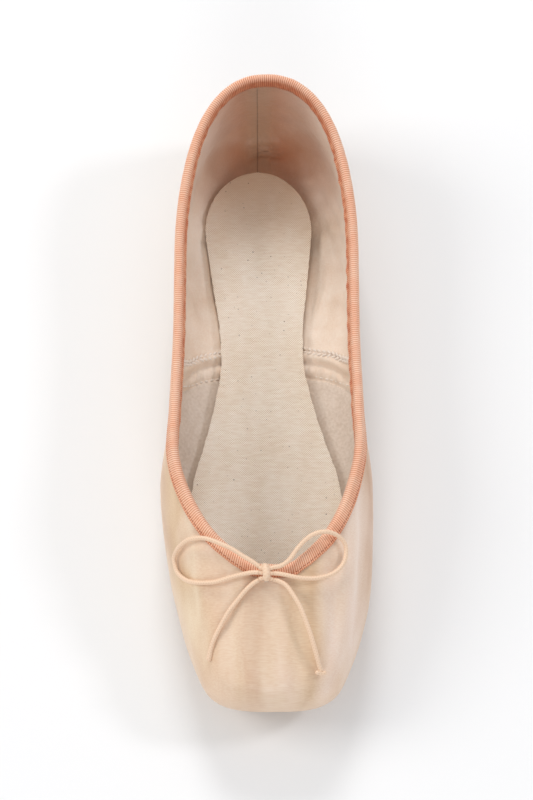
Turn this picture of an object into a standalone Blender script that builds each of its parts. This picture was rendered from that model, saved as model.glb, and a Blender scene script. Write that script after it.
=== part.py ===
"""Pointe shoe on a straight last, standing empty on its sole.

The toe points along -Y, the heel along +Y, +Z is up, and x = 0 halves the heel and the
waist; the last is straight, but the made toe box leans 2 mm to the right. The origin
lies on the floor under the middle of the length. The tables are in millimetres;
"behind" is a distance back from the toe tip.
"""
import bpy
import bmesh
import math
import numpy as np
from mathutils import Euler

MM = 0.001
SHOE_LENGTH = 232.0

# Last: (behind, half width, bottom, height of the widest line, top, top power, bottom power)
LAST = np.array([
    (0, 20.0, 9.0, 19.0, 31.0, 2.6, 2.8),
    (12, 26.0, 5.2, 18.0, 35.5, 2.5, 3.0),
    (28, 31.6, 3.1, 17.5, 40.0, 2.5, 3.2),
    (50, 36.0, 2.8, 18.5, 46.5, 2.6, 3.5),
    (80, 38.0, 2.8, 20.5, 54.5, 2.9, 3.6),
    (105, 34.6, 3.9, 24.0, 60.0, 3.6, 3.4),
    (140, 32.9, 6.3, 26.0, 66.0, 3.8, 3.0),
    (170, 32.8, 3.9, 24.0, 71.0, 3.8, 2.8),
    (190, 32.7, 2.8, 24.0, 75.0, 3.8, 2.8),
    (232, 33.6, 2.8, 24.0, 84.0, 3.8, 2.8),
])
BEHIND, HALF_WIDTH, BOTTOM, WIDEST, TOP, TOP_POWER, BOTTOM_POWER = range(7)

# The toe box leans to the right of the middle line: (behind, shift across)
LEAN = np.array([(0, 2.2), (34, 2.2), (50, 1.5), (66, 0.6), (82, 0.0), (232, 0.0)])

# Platform and heel of the last: how fast the sections open up, and how the ends lean
TOE_ROUND_PLAN = 11.0
TOE_ROUND_SIDE = 9.0
TOE_POWER = 3.6
PLATFORM_LEAN = 0.10
HEEL_ROUND = 68.0
HEEL_POWER = 2.25
HEEL_TUCK_LOW = 9.0
HEEL_TUCK_TOP = 1.6
HEEL_TUCK_TOP_POWER = 1.6
HEEL_FULLEST = (20.0, 30.0)
HEEL_TOP = 55.0

# Collar line seen from the side: (behind, height)
COLLAR = np.array([
    (20, 57.5), (36, 47.6), (43.4, 44.6), (47, 45.1), (52, 45.45), (60, 45.5),
    (74, 45.3), (92, 44.4), (120, 42.6), (160, 43.0), (195, 47.6), (232, 54.5),
])

# Upper: satin and canvas over the stiffened box, thinner in the quarters
BOX_WALL = 2.6
QUARTER_WALL = 1.6
BOX_END, QUARTER_START = 66.0, 96.0
FEATHER_INSET = 6.0
UPPER_RINGS = 18
HALF_MERIDIANS = 40
THIN_RIM_RINGS, COLLAR_FADE_RINGS = 2, 3

BEND_WEIGHT = 5.0

# The fan of meridians turns about one axis in the box and one in the heel
FAN_TOE, FAN_HEEL, FAN_HEIGHT = 84.0, 185.0, 20.0
LOWEST_PITCH, HIGHEST_PITCH, PITCHES = -86.0, 89.5, 360
LONGEST_RAY = 130.0
BISECTIONS = 28
NORMAL_STEP = 0.05
MERGE_DISTANCE = 0.1

# Outsole: (behind, half width), then its rounded ends
OUTSOLE = np.array([
    (27, 23), (45, 25), (70, 26), (100, 21.5), (135, 13.5), (165, 15), (195, 18.5), (219, 19),
])
OUTSOLE_FRONT, OUTSOLE_BACK = 27.0, 219.0
OUTSOLE_ENDS = (18.0, 2.2, 20.0, 2.1)
OUTSOLE_THICK = 2.4
OUTSOLE_GAP = 0.4
OUTSOLE_STATIONS = 26
OUTSOLE_ACROSS = np.array([0.0, 0.45, 0.80, 1.0])
OUTSOLE_BEVEL = 0.7
OUTSOLE_EDGE_DRAFT = 0.3

# Stations of the flat pieces start this far from their tips and crowd towards them
STATION_INSET = 0.4
END_CROWDING = 0.65

# Insole: (behind, half width) and (behind, height of its face), then its rounded ends
INSOLE = np.array([
    (31, 26.6), (56, 27.2), (76, 27.6), (88, 26.4), (103, 22.1), (118, 18.0), (136, 15.0),
    (148, 15.3), (161, 16.8), (173, 18.2), (190, 19.7), (214, 19.5),
])
INSOLE_FACE = np.array([
    (31, 11.0), (52, 11.4), (76, 10.8), (92, 10.5), (108, 10.8), (124, 11.7), (140, 12.5),
    (155, 12.2), (172, 11.7), (192, 12.1), (214, 12.1),
])
INSOLE_FRONT, INSOLE_BACK = 32.0, 212.0
INSOLE_ENDS = (22.0, 2.4, 24.0, 2.0)
INSOLE_THICK = 3.0
INSOLE_TURN = math.radians(1.6)
INSOLE_PIVOT = 80.0
INSOLE_STATIONS = 40

# Binding: ribbed tape folded round the collar edge
TAPE = 0.7
BINDING_LEG = 3.2
TAPE_GAP = 0.4
FOLD_STEPS_OUT, FOLD_STEPS_IN = 5, 3

# Drawstring bow: (across, behind, height of the cord's centre over the shoe)
CORD_THICK = 1.5
KNOT_AT = (-0.2, 41.0, 3.45)
KNOT_SIZE = (3.4, 6.2, 3.0)
KNOT_TILT = math.radians(-4.0)
LOOP_LEFT = [
    (-2.3, 42.9, 3.2), (-4.9, 44.8, 3.2), (-8.0, 46.7, 3.0), (-11.7, 49.2, 2.9), (-15.3, 51.0, 2.9),
    (-20.2, 53.3, 2.9), (-23.7, 54.2, 3.0), (-27.6, 54.3, 2.9), (-30.6, 53.2, 2.8), (-32.2, 51.5, 2.9),
    (-32.4, 49.6, 2.9), (-31.3, 45.7, 2.3), (-28.7, 42.5, 1.8), (-25.5, 40.5, 1.7), (-21.2, 39.5, 1.6),
    (-17.2, 39.3, 1.7), (-12.9, 40.1, 2.0), (-8.0, 40.9, 2.6), (-4.9, 41.2, 3.0), (-2.3, 41.1, 3.2),
]
LOOP_RIGHT = [
    (2.0, 42.7, 3.2), (5.2, 43.4, 3.3), (8.0, 45.5, 3.4), (10.9, 49.5, 3.6), (14.3, 53.0, 3.9),
    (17.7, 54.8, 4.2), (21.1, 55.2, 4.1), (24.6, 54.6, 3.7), (27.2, 52.7, 3.3), (27.8, 49.8, 3.1),
    (27.0, 46.2, 3.0), (24.6, 42.9, 3.0), (21.0, 40.7, 3.0), (16.8, 39.6, 3.0), (12.8, 39.4, 3.1),
    (9.4, 39.8, 3.1), (6.9, 40.3, 3.1), (3.8, 40.8, 3.1), (2.0, 40.8, 3.2),
]
END_LEFT = [
    (-2.3, 38.9, 2.6), (-4.3, 38.0, 2.4), (-7.0, 35.9, 2.0), (-10.2, 32.5, 1.6), (-13.2, 29.0, 1.4),
    (-16.1, 24.4, 1.4), (-18.7, 19.5, 1.4), (-20.3, 14.0, 1.4),
]
END_RIGHT = [
    (1.9, 38.9, 2.6), (4.2, 38.4, 2.8), (6.8, 36.8, 3.3), (9.2, 33.5, 4.1), (11.8, 29.0, 4.8),
    (14.9, 21.2, 4.9), (17.2, 14.2, 4.2), (18.9, 8.8, 3.2),
]
POINTS_PER_MM = 0.42
SPLINE_STEPS = 24

# Colours as sRGB hex, with roughness
LOOKS = {
    "outsole": ("#C9A681", 0.6),
    "upper": ("#E9CFB9", 0.4),
    "binding": ("#EFAF90", 0.55),
    "insole": ("#D8C6AC", 0.8),
    "drawstring": ("#F1D3B8", 0.6),
}


def smooth_rows(places, values, at):
    """Cubic through the rows that never overshoots them."""
    at = np.asarray(at, float)
    slopes = np.diff(values) / np.diff(places)
    tangents = np.zeros(len(places))
    product = slopes[:-1] * slopes[1:]
    total = np.where(product > 0, slopes[:-1] + slopes[1:], 1.0)
    tangents[1:-1] = np.where(product > 0, 2 * product / total, 0.0)
    tangents[0], tangents[-1] = slopes[0], slopes[-1]
    row = np.clip(np.searchsorted(places, at) - 1, 0, len(places) - 2)
    step = places[row + 1] - places[row]
    u = np.clip((at - places[row]) / step, 0, 1)
    start = (2 * u**3 - 3 * u**2 + 1) * values[row] + (u**3 - 2 * u**2 + u) * step * tangents[row]
    end = (3 * u**2 - 2 * u**3) * values[row + 1] + (u**3 - u**2) * step * tangents[row + 1]
    return start + end


def last_column(column, behind):
    return smooth_rows(LAST[:, BEHIND], LAST[:, column], behind)


def collar_height(behind):
    return smooth_rows(COLLAR[:, 0], COLLAR[:, 1], behind)


def toe_lean(behind):
    return smooth_rows(LEAN[:, 0], LEAN[:, 1], behind)


def round_end(share, power):
    """0 at a rounded end, 1 where the full size is reached."""
    share = np.clip(share, 0, 1)
    return (1 - (1 - share) ** power) ** (1 / power)


def last_half_width(behind, height):
    """Half width of the last at a place and height; -1 beyond its two ends."""
    toe_face = PLATFORM_LEAN * np.clip(LAST[0, WIDEST] - height, 0, None)
    low = np.clip(1 - height / HEEL_FULLEST[0], 0, 1)
    high = np.clip((height - HEEL_FULLEST[1]) / (HEEL_TOP - HEEL_FULLEST[1]), 0, 1)
    heel_face = SHOE_LENGTH - HEEL_TUCK_LOW * low**2 - HEEL_TUCK_TOP * high**HEEL_TUCK_TOP_POWER
    inward = behind - toe_face
    swell = round_end(inward / TOE_ROUND_SIDE, TOE_POWER)
    widest = last_column(WIDEST, behind)
    above = np.clip((height - widest) / ((last_column(TOP, behind) - widest) * swell + 1e-6), 0, 1)
    below = np.clip((widest - height) / ((widest - last_column(BOTTOM, behind)) * swell + 1e-6), 0, 1)
    in_top = height > widest
    power = np.where(in_top, last_column(TOP_POWER, behind), last_column(BOTTOM_POWER, behind))
    section = (1 - np.where(in_top, above, below) ** power) ** (1 / power)
    plan = round_end(inward / TOE_ROUND_PLAN, TOE_POWER)
    plan = plan * round_end((heel_face - behind) / HEEL_ROUND, HEEL_POWER)
    width = last_column(HALF_WIDTH, behind) * plan * section
    return np.where((inward <= 0) | (behind >= heel_face), -1.0, width)


def inside_last(points):
    return np.abs(points[..., 0]) < last_half_width(points[..., 1], points[..., 2])


def cast(start, direction, reach=LONGEST_RAY):
    """Where rays that start inside the last leave it."""
    near = np.zeros(direction.shape[:-1])
    far = np.full(direction.shape[:-1], reach)
    for _ in range(BISECTIONS):
        middle = (near + far) / 2
        within = inside_last(start + direction * middle[..., None])
        near = np.where(within, middle, near)
        far = np.where(within, far, middle)
    return start + direction * near[..., None]


def last_height(across, behind, side):
    """Height of the last's top (side 1) or underside (side -1) over a place in plan."""
    across, behind = np.broadcast_arrays(np.asarray(across, float), np.asarray(behind, float))
    start = np.stack([across, behind, last_column(WIDEST, behind)], -1)
    direction = np.zeros(start.shape)
    direction[..., 2] = side
    return cast(start, direction)[..., 2]


def outline_half_width(rows, front, back, ends, behind):
    """Half width of a flat piece whose two ends are rounded."""
    front_round, front_power, back_round, back_power = ends
    width = smooth_rows(rows[:, 0], rows[:, 1], behind)
    width = width * round_end((behind - front) / front_round, front_power)
    return width * round_end((back - behind) / back_round, back_power)


def end_crowded(front, back, count):
    """Places from front to back, closer together at both ends."""
    turn = np.linspace(0, math.pi, count)
    even = np.linspace(0, 1, count)
    share = END_CROWDING * (1 - np.cos(turn)) / 2 + (1 - END_CROWDING) * even
    return front + STATION_INSET + (back - front - 2 * STATION_INSET) * share


def meridian_axes(count):
    """(behind, angle) of each meridian's axis, toe to heel, evenly spread round one half."""
    quarter = np.linspace(0, math.pi / 2, 120)
    straight = np.linspace(FAN_TOE, FAN_HEEL, 120)[1:-1]
    behind = np.concatenate([0 * quarter + FAN_TOE, straight, 0 * quarter + FAN_HEEL])
    angle = np.concatenate([quarter, 0 * straight + math.pi / 2, quarter + math.pi / 2])
    start = np.stack([0 * behind, behind, 0 * behind + FAN_HEIGHT], -1)
    rim = cast(start, np.stack([np.sin(angle), -np.cos(angle), 0 * angle], -1))
    run = np.concatenate([[0], np.cumsum(np.linalg.norm(np.diff(rim, axis=0), axis=1))])
    even = np.linspace(0, run[-1], count)
    return np.interp(even, run, behind), np.interp(even, run, angle)


def feather_reach(behind, angle):
    """Plan distance from a meridian's axis to the edge of the opening underneath."""
    near, far = 0.0, LONGEST_RAY
    for _ in range(BISECTIONS):
        middle = (near + far) / 2
        place = behind - math.cos(angle) * middle
        half = outline_half_width(
            OUTSOLE, OUTSOLE_FRONT + FEATHER_INSET, OUTSOLE_BACK - FEATHER_INSET, OUTSOLE_ENDS, place)
        if math.sin(angle) * middle < half - FEATHER_INSET:
            near = middle
        else:
            far = middle
    return near


def meridian(behind, angle):
    """Dense points of the last's surface from the feather edge up to the collar."""
    pitch = np.radians(np.linspace(LOWEST_PITCH, HIGHEST_PITCH, PITCHES))
    out = np.array([math.sin(angle), -math.cos(angle), 0.0])
    start = np.array([0.0, behind, FAN_HEIGHT])
    direction = np.cos(pitch)[:, None] * out + np.sin(pitch)[:, None] * np.array([0, 0, 1.0])
    points = cast(start, direction)
    reach = np.linalg.norm(points[:, :2] - start[:2], axis=1)
    first = np.argmax(reach >= feather_reach(behind, angle))
    over = (points[:, 2] >= collar_height(points[:, 1])) & (pitch > 0)
    last = np.argmax(over)
    lower, upper = points[last - 1], points[last]
    miss = collar_height(np.array([lower[1], upper[1]])) - np.array([lower[2], upper[2]])
    edge = lower + (upper - lower) * miss[0] / (miss[0] - miss[1])
    return np.vstack([points[first:last], edge])


def resample(points, count):
    """Points along a polyline, closer together where it bends."""
    steps = np.diff(points, axis=0)
    lengths = np.linalg.norm(steps, axis=1)
    heading = steps / lengths[:, None]
    bend = np.arccos(np.clip(np.sum(heading[1:] * heading[:-1], axis=1), -1, 1))
    cost = np.concatenate([[0], np.cumsum(lengths + BEND_WEIGHT * np.append(bend, bend[-1]))])
    even = np.linspace(0, cost[-1], count)
    return np.stack([np.interp(even, cost, points[:, axis]) for axis in range(3)], -1)


def depth_inside(points):
    """1 on the last's surface and larger further in, by the distance from the fan's axis."""
    axis_place = np.clip(points[:, 1], FAN_TOE, FAN_HEEL)
    start = np.stack([0 * axis_place, axis_place, 0 * axis_place + FAN_HEIGHT], -1)
    ray = points - start
    length = np.linalg.norm(ray, axis=1)
    surface = cast(start, ray / length[:, None])
    return np.linalg.norm(surface - start, axis=1) / length


def surface_normals(points):
    """Outward normals of the last at points on it."""
    gradient = np.zeros(points.shape)
    for axis in range(3):
        step = np.zeros(3)
        step[axis] = NORMAL_STEP
        gradient[:, axis] = depth_inside(points + step) - depth_inside(points - step)
    return -gradient / np.linalg.norm(gradient, axis=1)[:, None]


def to_world(points):
    """Millimetres behind the toe to metres about the origin."""
    points = np.asarray(points, float)
    return np.stack([points[..., 0], points[..., 1] - SHOE_LENGTH / 2, points[..., 2]], -1) * MM


def srgb_to_linear(hex_colour):
    channels = [int(hex_colour[i:i + 2], 16) / 255 for i in (1, 3, 5)]
    return [c / 12.92 if c <= 0.04045 else ((c + 0.055) / 1.055) ** 2.4 for c in channels] + [1.0]


def add_material(target, look):
    material = bpy.data.materials.new(target.name)
    material.use_nodes = True
    shader = material.node_tree.nodes["Principled BSDF"]
    shader.inputs["Base Color"].default_value = srgb_to_linear(LOOKS[look][0])
    shader.inputs["Roughness"].default_value = LOOKS[look][1]
    shader.inputs["Metallic"].default_value = 0.0
    target.data.materials.append(material)


def add_mesh(collection, name, vertices, faces, look):
    mesh = bpy.data.meshes.new(name)
    mesh.from_pydata([tuple(v) for v in vertices], [], faces)
    mesh.shade_smooth()
    piece = bpy.data.objects.new(name, mesh)
    collection.objects.link(piece)
    add_material(piece, look)
    return piece


def grid_faces(rows, columns, closed=False):
    """Quads of a grid stored row by row; closed joins the last column to the first."""
    faces = []
    for row in range(rows - 1):
        for column in range(columns if closed else columns - 1):
            following = (column + 1) % columns
            here, there = row * columns, (row + 1) * columns
            faces.append((here + column, there + column, there + following, here + following))
    return faces


def mirror_across(piece):
    mirror = piece.modifiers.new("Mirror", "MIRROR")
    mirror.use_axis = (True, False, False)
    mirror.use_clip = True
    mirror.merge_threshold = MERGE_DISTANCE * MM


def make_upper(collection, meridians):
    """Half of the last's surface as an open sheet, mirrored, with its real wall inward."""
    rings = np.array([resample(m, UPPER_RINGS) for m in meridians])
    vertices = to_world(rings).reshape(-1, 3)
    faces = grid_faces(len(rings), UPPER_RINGS)
    upper = add_mesh(collection, "upper", vertices, faces, "upper")
    stiffened = upper.vertex_groups.new(name="stiffened")
    for i, ring in enumerate(rings):
        for j, point in enumerate(ring):
            box = np.clip((QUARTER_START - point[1]) / (QUARTER_START - BOX_END), 0, 1)
            rim = np.clip((UPPER_RINGS - 1 - THIN_RIM_RINGS - j) / COLLAR_FADE_RINGS, 0, 1)
            stiffened.add([i * UPPER_RINGS + j], float(box * rim), "REPLACE")
    mirror_across(upper)
    wall = upper.modifiers.new("Wall", "SOLIDIFY")
    wall.thickness = BOX_WALL * MM
    wall.vertex_group = stiffened.name
    wall.thickness_vertex_group = QUARTER_WALL / BOX_WALL
    wall.offset = -1
    wall.use_even_offset = True
    wall.use_quality_normals = True
    return upper


def binding_section(line):
    """One section of the folded tape on the top of a meridian, as a closed loop of points."""
    run = np.concatenate([[0], np.cumsum(np.linalg.norm(np.diff(line[::-1], axis=0), axis=1))])
    depths = np.array([0.0, BINDING_LEG / 2, BINDING_LEG])
    legs = np.stack([np.interp(depths, run, line[::-1, axis]) for axis in range(3)], -1)
    normals = surface_normals(legs)
    up = legs[0] - legs[1]
    up = up - normals[0] * np.dot(up, normals[0])
    up = up / np.linalg.norm(up)
    middle = legs[0] - normals[0] * QUARTER_WALL / 2

    def fold(radius, steps):
        turns = np.linspace(0, math.pi, steps)
        return [middle + radius * (normals[0] * math.cos(a) + up * math.sin(a)) for a in turns]

    outside = TAPE_GAP + TAPE
    inside = QUARTER_WALL + TAPE_GAP
    loop = [legs[2] + normals[2] * outside, legs[1] + normals[1] * outside]
    loop += fold(QUARTER_WALL / 2 + outside, FOLD_STEPS_OUT)
    loop += [legs[1] - normals[1] * (inside + TAPE), legs[2] - normals[2] * (inside + TAPE)]
    loop += [legs[2] - normals[2] * inside, legs[1] - normals[1] * inside]
    loop += fold(QUARTER_WALL / 2 + TAPE_GAP, FOLD_STEPS_IN)[::-1]
    loop += [legs[1] + normals[1] * TAPE_GAP, legs[2] + normals[2] * TAPE_GAP]
    return np.array(loop)


def make_binding(collection, meridians):
    """Tape swept round half of the collar and mirrored into a closed ring."""
    sections = np.array([binding_section(m) for m in meridians])
    sections[0, :, 0] = 0.0
    sections[-1, :, 0] = 0.0
    columns = sections.shape[1]
    faces = grid_faces(len(sections), columns, closed=True)
    binding = add_mesh(collection, "binding", to_world(sections).reshape(-1, 3), faces, "binding")
    mirror_across(binding)
    return binding


def make_outsole(collection):
    """Half loft: flat leather underneath, and a face that follows the underside of the last."""
    sections = []
    for behind in end_crowded(OUTSOLE_FRONT, OUTSOLE_BACK, OUTSOLE_STATIONS):
        half = outline_half_width(OUTSOLE, OUTSOLE_FRONT, OUTSOLE_BACK, OUTSOLE_ENDS, behind)
        across = half * OUTSOLE_ACROSS
        face = last_height(across, behind, -1) - OUTSOLE_GAP
        floor = round(max(float(face[0]) - OUTSOLE_THICK, 0.0), 4)
        rim = float(face[3]) - OUTSOLE_THICK + OUTSOLE_BEVEL
        under = [(x, behind, floor) for x in across[:3]]
        edge = [(across[3] - OUTSOLE_EDGE_DRAFT, behind, rim)]
        edge.append((across[3], behind, rim + OUTSOLE_BEVEL))
        over = [(x, behind, z) for x, z in zip(across[::-1], face[::-1])]
        sections.append(under + edge + over)
    columns = len(sections[0])
    ring_faces = grid_faces(len(sections), columns, closed=True)
    faces = [face for face in ring_faces if not joins_plane(face, columns)]
    faces.append(tuple(range(columns)))
    faces.append(tuple(len(sections) * columns - 1 - i for i in range(columns)))
    outsole = add_mesh(collection, "outsole", to_world(sections).reshape(-1, 3), faces, "outsole")
    mirror_across(outsole)
    return outsole


def joins_plane(face, columns):
    """True for a quad that would close a half section along x = 0."""
    places = {index % columns for index in face}
    return places == {0, columns - 1}


def make_insole(collection):
    """Board bent along its length only, as a strip with its thickness below."""
    stations = end_crowded(INSOLE_FRONT, INSOLE_BACK, INSOLE_STATIONS)
    half = outline_half_width(INSOLE, INSOLE_FRONT, INSOLE_BACK, INSOLE_ENDS, stations)
    height = smooth_rows(INSOLE_FACE[:, 0], INSOLE_FACE[:, 1], stations)
    edge = np.stack([half, stations, height], -1)
    middle = np.stack([0 * half, stations, height], -1)
    strip = np.stack([edge, middle], 1)
    pivot = to_world([0.0, INSOLE_PIVOT, 0.0])
    vertices = to_world(strip).reshape(-1, 3) - pivot
    insole = add_mesh(collection, "insole", vertices, grid_faces(len(stations), 2), "insole")
    mirror_across(insole)
    board = insole.modifiers.new("Board", "SOLIDIFY")
    board.thickness = INSOLE_THICK * MM
    board.offset = -1
    insole.location = pivot
    insole.rotation_euler = Euler((0, 0, INSOLE_TURN))
    return insole


def lean_to_right(piece):
    """Fixes a piece's modifiers into its mesh and leans the toe end to the right."""
    bpy.context.view_layer.update()
    graph = bpy.context.evaluated_depsgraph_get()
    mesh = bpy.data.meshes.new_from_object(piece.evaluated_get(graph))
    places = np.zeros(3 * len(mesh.vertices))
    mesh.vertices.foreach_get("co", places)
    places = places.reshape(-1, 3)
    behind = (places[:, 1] + piece.location.y) / MM + SHOE_LENGTH / 2
    places[:, 0] += toe_lean(behind) * MM
    mesh.vertices.foreach_set("co", places.ravel())
    mesh.update()
    piece.modifiers.clear()
    piece.data = mesh


def smooth_route(points, per_mm):
    """Catmull-Rom curve through hand-placed points, read at even steps."""
    points = np.asarray(points, float)
    padded = np.vstack([2 * points[0] - points[1], points, 2 * points[-1] - points[-2]])
    u = np.linspace(0, 1, SPLINE_STEPS, endpoint=False)[:, None]
    pieces = []
    for a, b, c, d in zip(padded[:-3], padded[1:-2], padded[2:-1], padded[3:]):
        pieces.append(0.5 * (2 * b + (c - a) * u + (2 * a - 5 * b + 4 * c - d) * u**2
                             + (3 * b - a - 3 * c + d) * u**3))
    dense = np.vstack(pieces + [points[-1:]])
    run = np.concatenate([[0], np.cumsum(np.linalg.norm(np.diff(dense, axis=0), axis=1))])
    even = np.linspace(0, run[-1], max(4, round(run[-1] * per_mm)))
    return np.stack([np.interp(even, run, dense[:, axis]) for axis in range(3)], -1)


def over_shoe(across, behind, lift):
    """Height over the vamp, or over the collar line where the shoe is open."""
    vamp = last_height(across - toe_lean(behind), behind, 1)
    return min(float(vamp), float(collar_height(behind))) + lift


def make_cord(collection, name, route):
    """Thin round cord lying over the vamp and the binding."""
    places = [(across, behind, over_shoe(across, behind, lift)) for across, behind, lift in route]
    points = to_world(smooth_route(places, POINTS_PER_MM))
    curve = bpy.data.curves.new(name, "CURVE")
    curve.dimensions = "3D"
    curve.bevel_depth = CORD_THICK / 2 * MM
    curve.bevel_resolution = 2
    curve.use_fill_caps = True
    spline = curve.splines.new("POLY")
    spline.points.add(len(points) - 1)
    for node, point in zip(spline.points, points):
        node.co = (*point, 1.0)
    cord = bpy.data.objects.new(name, curve)
    collection.objects.link(cord)
    add_material(cord, "drawstring")
    return cord


def make_knot(collection):
    """Small rounded lump that the loops and ends come out of."""
    across, behind, lift = KNOT_AT
    mesh = bpy.data.meshes.new("drawstring_knot")
    shape = bmesh.new()
    bmesh.ops.create_uvsphere(shape, u_segments=14, v_segments=9, radius=0.5)
    bmesh.ops.scale(shape, vec=[size * MM for size in KNOT_SIZE], verts=shape.verts)
    shape.to_mesh(mesh)
    shape.free()
    mesh.shade_smooth()
    knot = bpy.data.objects.new("drawstring_knot", mesh)
    knot.location = to_world([across, behind, over_shoe(across, behind, lift)])
    knot.rotation_euler = Euler((KNOT_TILT, 0, 0))
    collection.objects.link(knot)
    add_material(knot, "drawstring")
    return knot


def main():
    for leftover in list(bpy.data.objects):
        bpy.data.objects.remove(leftover, do_unlink=True)
    collection = bpy.data.collections.new("pointe_shoe")
    bpy.context.scene.collection.children.link(collection)
    meridians = [meridian(behind, angle) for behind, angle in zip(*meridian_axes(HALF_MERIDIANS))]
    shaped = [make_outsole(collection), make_upper(collection, meridians)]
    shaped += [make_insole(collection), make_binding(collection, meridians)]
    for piece in shaped:
        lean_to_right(piece)
    make_knot(collection)
    make_cord(collection, "drawstring_loop_left", LOOP_LEFT)
    make_cord(collection, "drawstring_loop_right", LOOP_RIGHT)
    make_cord(collection, "drawstring_end_left", END_LEFT)
    make_cord(collection, "drawstring_end_right", END_RIGHT)


main()
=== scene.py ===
import math
from functools import partial
import bpy
import numpy as np
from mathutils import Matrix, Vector


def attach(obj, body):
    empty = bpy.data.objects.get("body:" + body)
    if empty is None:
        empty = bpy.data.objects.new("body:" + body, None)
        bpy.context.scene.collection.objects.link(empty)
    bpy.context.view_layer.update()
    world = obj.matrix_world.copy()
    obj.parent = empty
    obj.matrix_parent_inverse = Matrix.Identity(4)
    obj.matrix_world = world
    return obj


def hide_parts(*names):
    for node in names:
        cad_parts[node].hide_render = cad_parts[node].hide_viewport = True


# Pointe shoe: satin, linings, tape, canvas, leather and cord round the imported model.
# Tables are in millimetres; "behind" is a distance back from the toe tip, and a place
# is (across, behind, height). The toe points along -Y and the floor is z = 0.

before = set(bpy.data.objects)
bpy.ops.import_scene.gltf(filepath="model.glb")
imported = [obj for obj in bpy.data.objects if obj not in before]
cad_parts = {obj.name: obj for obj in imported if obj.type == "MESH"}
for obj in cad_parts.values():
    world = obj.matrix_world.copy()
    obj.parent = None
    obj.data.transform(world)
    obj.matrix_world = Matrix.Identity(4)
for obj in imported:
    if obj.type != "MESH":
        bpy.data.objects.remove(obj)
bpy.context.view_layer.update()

MM = 0.001
SHOE_LENGTH = 232.0

# Camera: the photograph's angle
SHOT_ELEVATION = math.radians(68.0)
SHOT_DISTANCE = 1.25
SHOT_TARGET = Vector((0.0, -0.0014, 0.025))
SHOT_LENS = 155.8
SHOT_SENSOR = 36.0

# Last, as in the CAD: (behind, half width, bottom, height of the widest line, top, top power,
# bottom power)
LAST = np.array([
    (0, 20.0, 9.0, 19.0, 31.0, 2.6, 2.8),
    (12, 26.0, 5.2, 18.0, 35.5, 2.5, 3.0),
    (28, 31.6, 3.1, 17.5, 40.0, 2.5, 3.2),
    (50, 36.0, 2.8, 18.5, 46.5, 2.6, 3.5),
    (80, 38.0, 2.8, 20.5, 54.5, 2.9, 3.6),
    (105, 34.6, 3.9, 24.0, 60.0, 3.6, 3.4),
    (140, 32.9, 6.3, 26.0, 66.0, 3.8, 3.0),
    (170, 32.8, 3.9, 24.0, 71.0, 3.8, 2.8),
    (190, 32.7, 2.8, 24.0, 75.0, 3.8, 2.8),
    (232, 33.6, 2.8, 24.0, 84.0, 3.8, 2.8),
])
BEHIND, HALF_WIDTH, BOTTOM, WIDEST, TOP, TOP_POWER, BOTTOM_POWER = range(7)
# The toe box leans to the right of the middle line: (behind, shift across)
LEAN = np.array([(0, 2.2), (34, 2.2), (50, 1.5), (66, 0.6), (82, 0.0), (232, 0.0)])
TOE_ROUND_PLAN = 11.0
TOE_ROUND_SIDE = 9.0
TOE_POWER = 3.6
PLATFORM_LEAN = 0.10
HEEL_ROUND = 68.0
HEEL_POWER = 2.25
HEEL_TUCK_LOW = 9.0
HEEL_TUCK_TOP = 1.6
HEEL_TUCK_TOP_POWER = 1.6
HEEL_FULLEST = (20.0, 30.0)
HEEL_TOP = 55.0
COLLAR = np.array([
    (20, 57.5), (36, 47.6), (43.4, 44.6), (47, 45.1), (52, 45.45), (60, 45.5),
    (74, 45.3), (92, 44.4), (120, 42.6), (160, 43.0), (195, 47.6), (232, 54.5),
])
FAN_TOE, FAN_HEEL, FAN_HEIGHT = 84.0, 185.0, 20.0
LOWEST_PITCH, HIGHEST_PITCH, PITCHES = -86.0, 89.5, 320
# The skin's columns crowd under the toe, at the side seams and at the back
PLEATS_END, SEAM_MIDDLE = 42, 131
LONGEST_RAY = 130.0
BISECTIONS = 26
OUTSOLE = np.array([
    (27, 23), (45, 25), (70, 26), (100, 21.5), (135, 13.5), (165, 15), (195, 18.5), (219, 19),
])
OUTSOLE_FRONT, OUTSOLE_BACK = 27.0, 219.0
OUTSOLE_ENDS = (18.0, 2.2, 20.0, 2.1)
FEATHER_INSET = 6.0
BOX_WALL = 2.6
QUARTER_WALL = 1.6
BOX_END, QUARTER_START = 66.0, 96.0
# Seam between vamp and quarter: (height, behind)
SIDE_SEAM = np.array([
    (4.0, 141.0), (7.4, 137.3), (9.7, 134.4), (12.8, 130.6), (20, 127), (30, 125), (45, 124),
])
# Back seam of the lining, and the two edges of the panel over it
HEEL_SEAM = -3.4
HEEL_PANEL = (-7.5, 1.9)

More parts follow.
